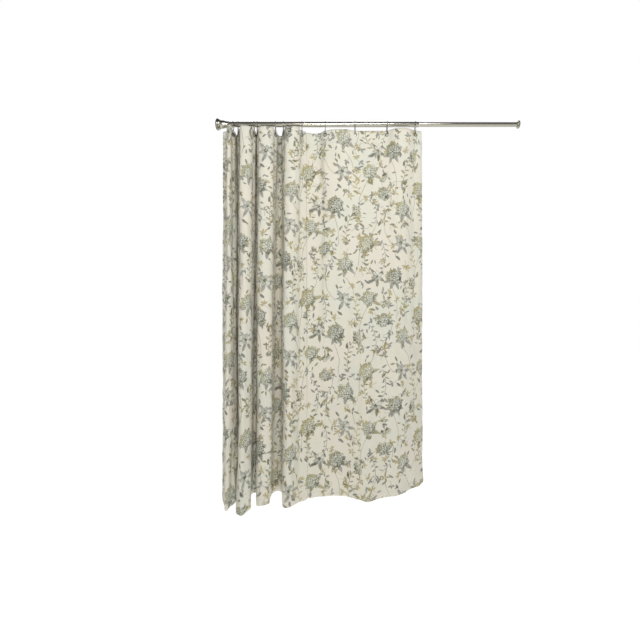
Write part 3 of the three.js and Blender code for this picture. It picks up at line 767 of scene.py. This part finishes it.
def rod_piece(name, node, finish, profile, rounding=0.25):
    stand_for(turned(name, profile, finish, rounding=rounding), node)


def tube(name, node, radius):
    start, end = ends(node)
    bore = radius - TUBE_WALL
    profile = [(start, bore), (start, radius), (end, radius), (end, bore)]
    rod_piece(name, node, nickel, profile)


def show_rod():
    start, end = ends("left_end_flange")
    rod_piece("left_flange_cup", "left_end_flange", nickel, [
        (start, 0), (start, 28.2), (start + 0.8, 29), (start + 2.6, 29), (start + 4.2, 28.4),
        (start + 6.5, 26.6), (start + 9, 25), (end - 2.4, 24), (end - 0.8, 23.4), (end, 22.4),
        (end, 21.1), (start + 3, 21.1), (start + 3, 0),
    ], 0.3)

    start, end = ends("left_collar")
    rod_piece("left_collar_cone", "left_collar", nickel, [
        (start, 13.1), (start, 19.2), (start + 0.8, 20), (start + 14, 19.8), (start + 22, 18.9),
        (start + 28, 17.3), (start + 34, 16), (end - 4, 15.2), (end - 0.8, 15), (end, 14.4), (end, 13.1),
    ])

    tube("outer_rod_tube", "outer_tube", OUTER_TUBE_RADIUS)
    tube("inner_rod_tube", "inner_tube", INNER_TUBE_RADIUS)

    start, end = ends("guide_bush")
    lip = end - 1.7
    rod_piece("tube_mouth_bush", "guide_bush", white_nylon, [
        (start, 11.25), (start, 11.75), (lip, 11.75), (lip, 12.6), (end, 12.6), (end, 11.25),
    ], 0.2)

    start, end = ends("right_end_flange")
    rod_piece("right_flange_disc", "right_end_flange", nickel, [
        (start, 0), (start, 16.2), (start + 0.7, 18), (start + 1.8, 19.2), (end, 19.5), (end, 0),
    ])

    start, end = ends("left_wall_pad")
    rod_piece("left_rubber_pad", "left_wall_pad", rubber, [
        (start, 0), (start, 20.6), (1.8, 24.2), (3.9, 26.8), (end - 0.5, 28.3), (end, 28), (end, 0),
    ], 0.4)

    start, end = ends("right_wall_pad")
    rod_piece("right_rubber_pad", "right_wall_pad", rubber, [
        (start, 0), (start, 19.1), (end - 1.2, 18.8), (end, 17.8), (end, 14),
        (end - 0.6, 13.4), (end - 0.6, 0),
    ], 0.3)

    show_spring()
    for node, finish in [
        ("foot_stem", dull_steel), ("stem_washer", dull_steel), ("cam_washer", dull_steel),
        ("tube_plug", white_nylon), ("lock_core", white_nylon), ("lock_cam", white_nylon),
        ("right_tube_plug", white_nylon),
    ]:
        shown = frame["nodes"][node]
        shown.data.materials.clear()
        shown.data.materials.append(finish)


# ---- hooks and grommets -----------------------------------------------------------------------
def hook_route():
    """The wire's middle line in the plane across the rod: a wide arc over the tube, two straight
    sides, a narrow arc through the grommet. One end closes on the other on the back side."""
    top, low = HOOK_TOP - HOOK_TOP_RADIUS, HOOK_FOOT + HOOK_FOOT_RADIUS
    lean = math.asin((HOOK_TOP_RADIUS - HOOK_FOOT_RADIUS) / (top - low))

    def over_tube(angle):
        return Vector((0, HOOK_TOP_RADIUS * math.cos(angle), top + HOOK_TOP_RADIUS * math.sin(angle)))

    def in_grommet(angle):
        return Vector((0, HOOK_FOOT_RADIUS * math.cos(angle), low + HOOK_FOOT_RADIUS * math.sin(angle)))

    first, last = over_tube(-lean), in_grommet(-lean)
    mirrored_first = Vector((0, -first.y, first.z))
    mirrored_last = Vector((0, -last.y, last.z))
    points = [first.lerp(last, share) for share in (0.42, 0.3, 0.12)]
    points += [over_tube(-lean + (math.pi + 2 * lean) * i / 20) for i in range(21)]
    points += [mirrored_first.lerp(mirrored_last, share) for share in (0.2, 0.4, 0.6, 0.8)]
    points += [in_grommet(math.pi + lean + (math.pi - 2 * lean) * i / 12) for i in range(13)]
    points += [first.lerp(last, share) for share in (0.85, 0.65, 0.5)]
    return points


def hook_shape():
    """One hook: the round wire, and the small latch sleeve where its ends meet."""
    points = hook_route()
    shape = round_wire(points, HOOK_WIRE)
    closing = (points[0] + points[-1]) / 2
    way = (points[0] - points[-1]).normalized()
    turn = Vector((0, 0, 1)).rotation_difference(way).to_matrix().to_4x4()
    place = Matrix.Translation(closing * MM) @ turn
    radius = SLEEVE_RADIUS * MM
    sleeve = bmesh.ops.create_cone(shape, cap_ends=True, segments=20, radius1=radius, radius2=radius,
                                   depth=SLEEVE_LENGTH * MM, matrix=place)
    rims = [e for v in sleeve["verts"] for e in v.link_edges if len(e.link_faces) == 2
            and abs((e.verts[0].co - e.verts[1].co).normalized().dot(way)) < 0.5]
    round_edges(shape, list(dict.fromkeys(rims)), 0.5)
    bmesh.ops.recalc_face_normals(shape, faces=shape.faces)
    return shape


def show_hooks():
    pattern = hook_shape()
    for number, (x, heading, _, _) in enumerate(HANG, 1):
        node = f"curtain_hook_{number:02d}"
        low, high = ends(node)
        hook = pattern.copy()
        bmesh.ops.translate(hook, verts=hook.verts, vec=((low + high) / 2 * MM, 0, 0))
        stand_for(new_piece(f"wire_hook_{number:02d}", hook, bright_steel), node)

        facing = Matrix.Rotation(math.radians(heading + 90), 4, "Z")
        place = Matrix.Translation((x * MM, 0, -GROMMET_DROP * MM)) @ facing
        for kind, profile in (("grommet_eyelet", EYELET), ("grommet_washer", WASHER)):
            ring = turned(f"{kind}_ring_{number:02d}", profile, grommet_metal, steps=40, rounding=0.12)
            ring.data.transform(place)
            stand_for(ring, f"{kind}_{number:02d}")
    pattern.free()


# ---- the cloth --------------------------------------------------------------------------------
def arm(hook, length):
    """The cloth a signed distance away from a hook's grommet."""
    x, heading, (hem_x, hem_y, drop, hem_heading), _ = hook
    turn, hem_turn = math.radians(heading), math.radians(hem_heading)
    return (x + length * math.cos(turn), length * math.sin(turn),
            hem_x + length * math.cos(hem_turn), hem_y + length * math.sin(hem_turn), drop)


def rounded(points):
    """A smooth line through points, with the same bend rule for every coordinate set."""
    def spline(rows):
        padded = [2 * rows[0] - rows[1], *rows, 2 * rows[-1] - rows[-2]]
        line = []
        for p0, p1, p2, p3 in zip(padded, padded[1:], padded[2:], padded[3:]):
            gaps = [max((b - a).length, 1e-4) ** 0.5 for a, b in ((p0, p1), (p1, p2), (p2, p3))]
            t1, t2, t3 = gaps[0], gaps[0] + gaps[1], sum(gaps)
            for i in range(BENDS):
                t = t1 + (t2 - t1) * i / BENDS
                a1 = p0 * ((t1 - t) / t1) + p1 * (t / t1)
                a2 = p1 * ((t2 - t) / (t2 - t1)) + p2 * ((t - t1) / (t2 - t1))
                a3 = p2 * ((t3 - t) / (t3 - t2)) + p3 * ((t - t2) / (t3 - t2))
                b1 = a1 * ((t2 - t) / t2) + a2 * (t / t2)
                b2 = a2 * ((t3 - t) / (t3 - t1)) + a3 * ((t - t1) / (t3 - t1))
                line.append(b1 * ((t2 - t) / (t2 - t1)) + b2 * ((t - t1) / (t2 - t1)))
        return line + [rows[-1]]
    top = spline([Vector((p[0], p[1], 0)) for p in points])
    hem = spline([Vector((p[2], p[3], p[4])) for p in points])
    return list(zip(top, hem))


def cloth_line():
    """Every line of the cloth from its left edge to its right edge, as pairs of header and hem points,
    spaced COLUMN apart; and the place of the seam in it."""
    line = rounded([LEFT_EDGE, arm(HANG[0], -ARM)])
    seam_at = 0
    for number, (hook, next_hook) in enumerate(zip(HANG, HANG[1:]), 1):
        folds = hook[3]
        if number == SEAM_HOOK:
            folds = [SEAM, *PANEL_FOLDS]
            seam_at = len(line) + BENDS
        line += rounded([arm(hook, ARM), *folds, arm(next_hook, -ARM)])
    line += rounded([arm(HANG[-1], ARM), RIGHT_EDGE])
    lengths = [0.0]
    for (top, hem), (top2, hem2) in zip(line, line[1:]):
        lengths.append(lengths[-1] + ((top2 - top).length + (hem2 - hem).length) / 2)
    return line, lengths, seam_at


def resampled(line, lengths, start, end):
    """Evenly spaced pairs between two places along the line, with each one's share of the width."""
    count = round((end - start) / COLUMN)
    pairs = []
    at = 0
    for i in range(count + 1):
        wanted = start + (end - start) * i / count
        while at < len(lengths) - 2 and lengths[at + 1] < wanted:
            at += 1
        span = max(lengths[at + 1] - lengths[at], 1e-9)
        share = min(max((wanted - lengths[at]) / span, 0), 1)
        (top, hem), (next_top, next_hem) = line[at], line[at + 1]
        pairs.append((top.lerp(next_top, share), hem.lerp(next_hem, share), wanted))
    return pairs


def fold_share(depth):
    """0 where the cloth has its header's shape, 1 at the hem."""
    return max(0.0, (depth - HEADER) / (CLOTH - HEADER)) ** 0.8


def line_at(pair, share):
    top, hem, _ = pair
    return top.lerp(hem, share)


def sway(along, depth):
    """How far the cloth waves off its fold: one slow wave and one short one, none at the top edge."""
    slow = noise.noise(Vector((along * 0.012, depth * 0.0016, 3.1))) * 5.0 * min(1.0, depth / 400)
    short = noise.noise(Vector((along * 0.035, depth * 0.006, 8.7))) * 1.6 * min(1.0, depth / 150)
    return slow + short


def cloth_grid(pairs, width):
    """The whole sheet as a grid bent on to its folds, with its place on the flat cloth as a UV map in
    metres, and each point's place flat and its hold on the header."""
    rows = round(CLOTH / ROW)
    columns = len(pairs) - 1
    shape = bmesh.new()
    bmesh.ops.create_grid(shape, x_segments=columns, y_segments=rows, size=0.5)
    hold = shape.verts.layers.float.new("hold")
    flat = {}
    for vert in shape.verts:
        i = round((vert.co.x + 0.5) * columns)
        j = round((0.5 - vert.co.y) * rows)
        depth = CLOTH * j / rows
        share = fold_share(depth)
        here = line_at(pairs[i], share)
        run = line_at(pairs[min(i + 1, columns)], share) - line_at(pairs[max(i - 1, 0)], share)
        side = Vector((-run.y, run.x, 0)).normalized()
        along = pairs[i][2]
        place = here + side * sway(along, depth)
        drop = here.z * depth / CLOTH if share > 0 else 0
        vert.co = Vector((place.x, place.y, -CLOTH_TOP - depth - drop)) * MM
        vert[hold] = 1.0 if depth < PINNED else HOLD_BELOW
        flat[vert] = (along * CLOTH / width * MM, depth * MM)
    cloth_uv = shape.loops.layers.uv.new("cloth")
    for face in shape.faces:
        for corner in face.loops:
            corner[cloth_uv].uv = flat[corner.vert]
    bmesh.ops.recalc_face_normals(shape, faces=shape.faces)
    return shape


def settle(sheet):
    """Lets the sheet hang: its springs want the flat cloth's lengths, the header stays on its hooks, and
    a light pull keeps each fold near its place."""
    mesh = sheet.data
    group = sheet.vertex_groups.new(name="held")
    for point, held in zip(mesh.vertices, mesh.attributes["hold"].data):
        group.add([point.index], held.value, "REPLACE")
    sheet.shape_key_add(name="hung")
    rest = sheet.shape_key_add(name="flat")
    for loop, corner in zip(mesh.loops, mesh.uv_layers["cloth"].data):
        rest.data[loop.vertex_index].co = (corner.uv.x, 0, -corner.uv.y)
    cloth = sheet.modifiers.new("hang", "CLOTH")
    cloth.settings.quality = 6
    cloth.settings.mass = 0.0006
    cloth.settings.tension_stiffness = 18
    cloth.settings.compression_stiffness = 10
    cloth.settings.shear_stiffness = 6
    cloth.settings.bending_stiffness = 0.3
    cloth.settings.air_damping = 3
    cloth.settings.vertex_group_mass = "held"
    cloth.settings.pin_stiffness = 1.0
    cloth.settings.rest_shape_key = rest
    cloth.collision_settings.use_self_collision = True
    cloth.collision_settings.self_distance_min = 0.003
    cloth.collision_settings.use_collision = False
    cloth.point_cache.frame_end = SETTLE_FRAMES
    scene = bpy.context.scene
    for step in range(1, SETTLE_FRAMES + 1):
        scene.frame_set(step)
    hung = bpy.data.meshes.new_from_object(sheet.evaluated_get(bpy.context.evaluated_depsgraph_get()))
    scene.frame_set(1)
    sheet.modifiers.clear()
    sheet.shape_key_clear()
    for point, new in zip(mesh.vertices, hung.vertices):
        shift = new.co - point.co
        if shift.length > MOST_SHIFT * MM:
            shift = shift.normalized() * (MOST_SHIFT * MM)
        point.co = point.co + shift
    bpy.data.meshes.remove(hung)


def part_of(sheet, name, node, first, last):
    """A copy of the sheet between two places across its width, made finer, with its thickness."""
    shape = bmesh.new()
    shape.from_mesh(sheet.data)
    uv = shape.loops.layers.uv["cloth"]
    def outside(face):
        middle = sum(corner[uv].uv.x for corner in face.loops) / len(face.loops)
        return not first < middle < last
    bmesh.ops.delete(shape, geom=[face for face in shape.faces if outside(face)], context="FACES")
    piece = new_piece(name, shape, cloth_finish, 180)
    hems = piece.vertex_groups.new(name="hems")
    for loop, corner in zip(piece.data.loops, piece.data.uv_layers["cloth"].data):
        across, down = corner.uv
        near_side = min(across, CLOTH * MM - across) < SIDE_HEM * MM
        in_band = down > (CLOTH - FOOT_HEM) * MM or down < HEADER_HEM * MM
        hems.add([loop.vertex_index], 1.0 if near_side or in_band else 0.0, "REPLACE")
    finer = piece.modifiers.new("finer", "SUBSURF")
    finer.levels = finer.render_levels = 1
    wall = piece.modifiers.new("thickness", "SOLIDIFY")
    wall.thickness = CLOTH_THICKNESS * MM
    wall.offset = 0
    wall.vertex_group = "hems"
    wall.thickness_vertex_group = 0.5
    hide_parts(node)
    return piece


def show_cloth():
    line, lengths, seam_at = cloth_line()
    width, seam = lengths[-1], lengths[seam_at]
    left, right = resampled(line, lengths, 0, seam), resampled(line, lengths, seam, width)
    sheet = new_piece("whole_cloth", cloth_grid(left + right[1:], width), cloth_finish, 180)
    settle(sheet)
    pleats_width = CLOTH * (seam / width) * MM
    panel_width = CLOTH * (1 - seam / width) * MM
    pleats = part_of(sheet, "cloth_pleats", "curtain_pleats", -math.inf, pleats_width)
    panel = part_of(sheet, "cloth_panel", "curtain_panel", pleats_width, math.inf)
    bpy.data.objects.remove(sheet)
    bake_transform(pleats)
    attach(panel, "plain_panel")
    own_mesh(panel)


# ---- camera, lights and floor -----------------------------------------------------------------
CAMERA_PLACE = (0.5226, -2.2, -0.9838)
CAMERA_LENS = 24.58
FLOOR_DROP = -2.1


def show_camera():
    lens = bpy.data.cameras.new("camera")
    lens.sensor_width = 36
    lens.lens = CAMERA_LENS
    lens.clip_end = 60
    camera = bpy.data.objects.new("camera", lens)
    camera.location = CAMERA_PLACE
    camera.rotation_euler = (math.radians(90), 0, 0)
    bpy.context.scene.collection.objects.link(camera)
    bpy.context.scene.camera = camera


def show_room():
    """Bright walls behind the curtain and at its sides, up to a height; a darker ceiling and front."""
    world = bpy.data.worlds.new("studio_air")
    world.use_nodes = True
    tree = world.node_tree
    way = tree.nodes.new("ShaderNodeTexCoord")
    parts = tree.nodes.new("ShaderNodeSeparateXYZ")
    tree.links.new(way.outputs["Generated"], parts.inputs[0])
    both = tree.nodes.new("ShaderNodeMath")
    both.operation = "MULTIPLY"
    walls = (0.62, 0.80, 1.0, 0.16)
    front = (0.05, 0.66, 0.27, 1.0)
    for number, (axis, limits) in enumerate((("Z", walls), ("Y", front))):
        fade = tree.nodes.new("ShaderNodeMapRange")
        fade.interpolation_type = "SMOOTHSTEP"
        for name, value in zip(("From Min", "From Max", "To Min", "To Max"), limits):
            fade.inputs[name].default_value = value
        tree.links.new(parts.outputs[axis], fade.inputs["Value"])
        tree.links.new(fade.outputs[0], both.inputs[number])
    background = tree.nodes["Background"]
    background.inputs["Color"].default_value = (1, 1, 1, 1)
    tree.links.new(both.outputs[0], background.inputs["Strength"])
    bpy.context.scene.world = world


def show_floor():
    place = Matrix.Translation((0.6, 0, FLOOR_DROP))
    shape = bmesh.new()
    bmesh.ops.create_grid(shape, x_segments=2, y_segments=2, size=9, matrix=place)
    pale = Finish("pale_floor", 0.9, 0.0)
    pale.feed(Base_Color=(0.9, 0.9, 0.89), Emission_Color=(1.0, 1.0, 0.99), Emission_Strength=0.75)
    new_piece("studio_floor", shape, pale.material)


def soft_light(name, place, target, size, power, spread):
    lamp = bpy.data.lights.new(name, "AREA")
    lamp.shape = "RECTANGLE"
    lamp.size, lamp.size_y = size
    lamp.energy = power
    lamp.spread = math.radians(spread)
    holder = bpy.data.objects.new(name, lamp)
    holder.location = place
    holder.rotation_euler = (Vector(target) - Vector(place)).to_track_quat("-Z", "Y").to_euler()
    bpy.context.scene.collection.objects.link(holder)


def studio():
    bpy.context.scene.view_settings.view_transform = "Standard"
    show_camera()
    show_room()
    show_floor()
    soft_light("key_softbox", (1.35, -2.7, 1.0), (0.55, 0, -0.35), (0.8, 0.6), 9, 95)
    soft_light("front_softbox", (0.62, -2.75, 0.3), (0.5, 0, -0.7), (0.6, 0.5), 32, 180)


studio()
show_rod()
show_hooks()
show_cloth()
